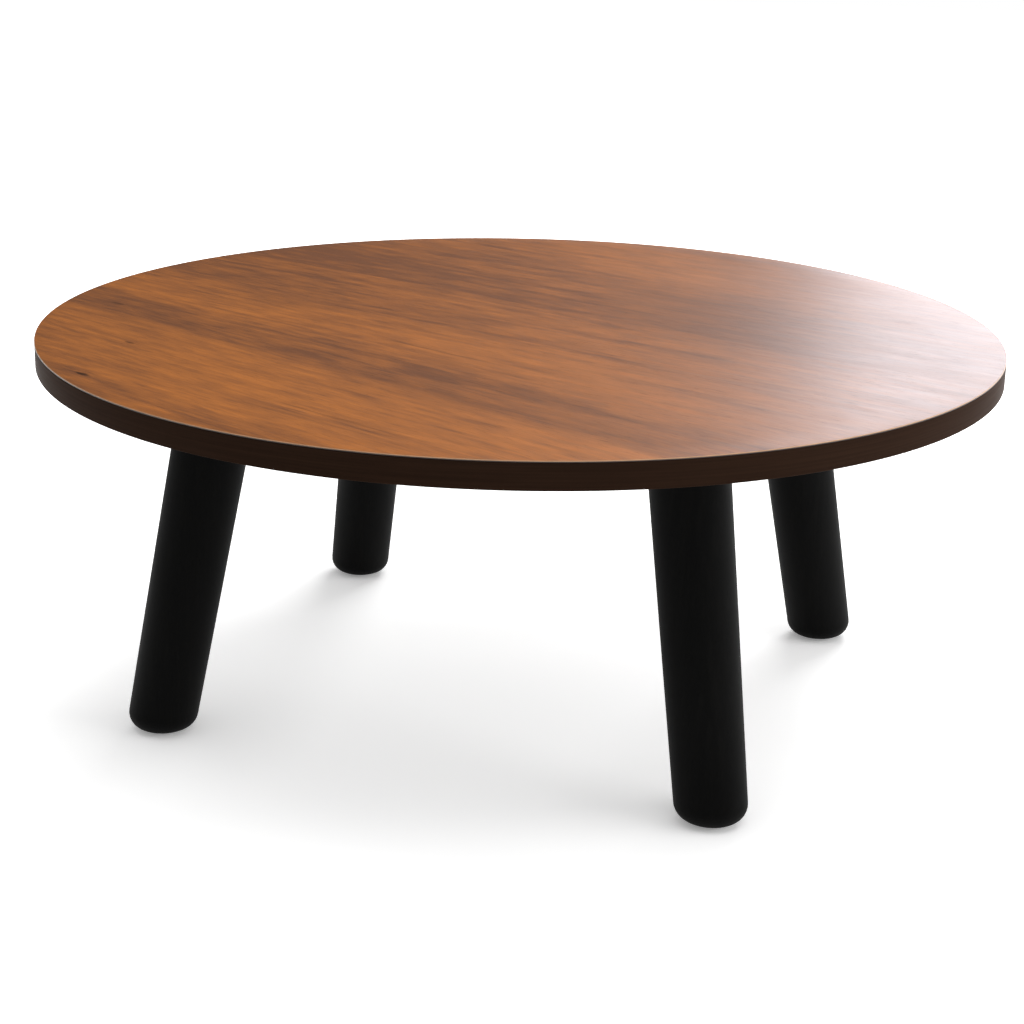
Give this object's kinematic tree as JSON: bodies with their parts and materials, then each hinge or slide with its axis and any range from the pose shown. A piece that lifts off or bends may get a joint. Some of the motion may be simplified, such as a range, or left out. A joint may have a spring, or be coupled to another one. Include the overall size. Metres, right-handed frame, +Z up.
{
  "type": "coffee table",
  "caption": "Low round coffee table: a streaked veneer board with a dark edge band, carried on round, tapered, splayed legs that bolt to its underside through steel plates.",
  "frame": {"origin": "on the floor, under the middle of the board", "axes": "+Z up; the legs stand in a rectangle whose long side runs along X and short side along Y"},
  "size_m": [0.9, 0.9, 0.36],
  "materials": {
    "face_veneer": "satin lacquered walnut-brown veneer",
    "board_core": "bare fibreboard",
    "dark_wood": "very dark stained wood, satin",
    "black_lacquer": "satin black lacquer on turned wood",
    "coated_steel": "black powder coat",
    "zinc_steel": "zinc plated",
    "brass": "turned",
    "felt": "dark pressed felt"
  },
  "bodies": {
    "root": {"top_veneer": "face_veneer", "top_core": "board_core", "backing_veneer": "dark_wood", "edge_band": "dark_wood", "leg_front_left": "black_lacquer", "leg_front_right": "black_lacquer", "leg_back_right": "black_lacquer", "leg_back_left": "black_lacquer", "leg_plate_front_left": "coated_steel", "leg_plate_front_right": "coated_steel", "leg_plate_back_right": "coated_steel", "leg_plate_back_left": "coated_steel", "foot_pad_front_left": "felt", "foot_pad_front_right": "felt", "foot_pad_back_right": "felt", "foot_pad_back_left": "felt", "leg_screw_front_left_1": "zinc_steel", "leg_screw_front_left_2": "zinc_steel", "leg_screw_front_left_3": "zinc_steel", "leg_screw_front_right_1": "zinc_steel", "leg_screw_front_right_2": "zinc_steel", "leg_screw_front_right_3": "zinc_steel", "leg_screw_back_right_1": "zinc_steel", "leg_screw_back_right_2": "zinc_steel", "leg_screw_back_right_3": "zinc_steel", "leg_screw_back_left_1": "zinc_steel", "leg_screw_back_left_2": "zinc_steel", "leg_screw_back_left_3": "zinc_steel", "plate_bolt_front_left_1": "zinc_steel", "plate_bolt_front_left_2": "zinc_steel", "plate_bolt_front_left_3": "zinc_steel", "plate_bolt_front_left_4": "zinc_steel", "plate_bolt_front_right_1": "zinc_steel", "plate_bolt_front_right_2": "zinc_steel", "plate_bolt_front_right_3": "zinc_steel", "plate_bolt_front_right_4": "zinc_steel", "plate_bolt_back_right_1": "zinc_steel", "plate_bolt_back_right_2": "zinc_steel", "plate_bolt_back_right_3": "zinc_steel", "plate_bolt_back_right_4": "zinc_steel", "plate_bolt_back_left_1": "zinc_steel", "plate_bolt_back_left_2": "zinc_steel", "plate_bolt_back_left_3": "zinc_steel", "plate_bolt_back_left_4": "zinc_steel", "insert_front_left_1": "brass", "insert_front_left_2": "brass", "insert_front_left_3": "brass", "insert_front_left_4": "brass", "insert_front_right_1": "brass", "insert_front_right_2": "brass", "insert_front_right_3": "brass", "insert_front_right_4": "brass", "insert_back_right_1": "brass", "insert_back_right_2": "brass", "insert_back_right_3": "brass", "insert_back_right_4": "brass", "insert_back_left_1": "brass", "insert_back_left_2": "brass", "insert_back_left_3": "brass", "insert_back_left_4": "brass"}
  },
  "joints": []
}
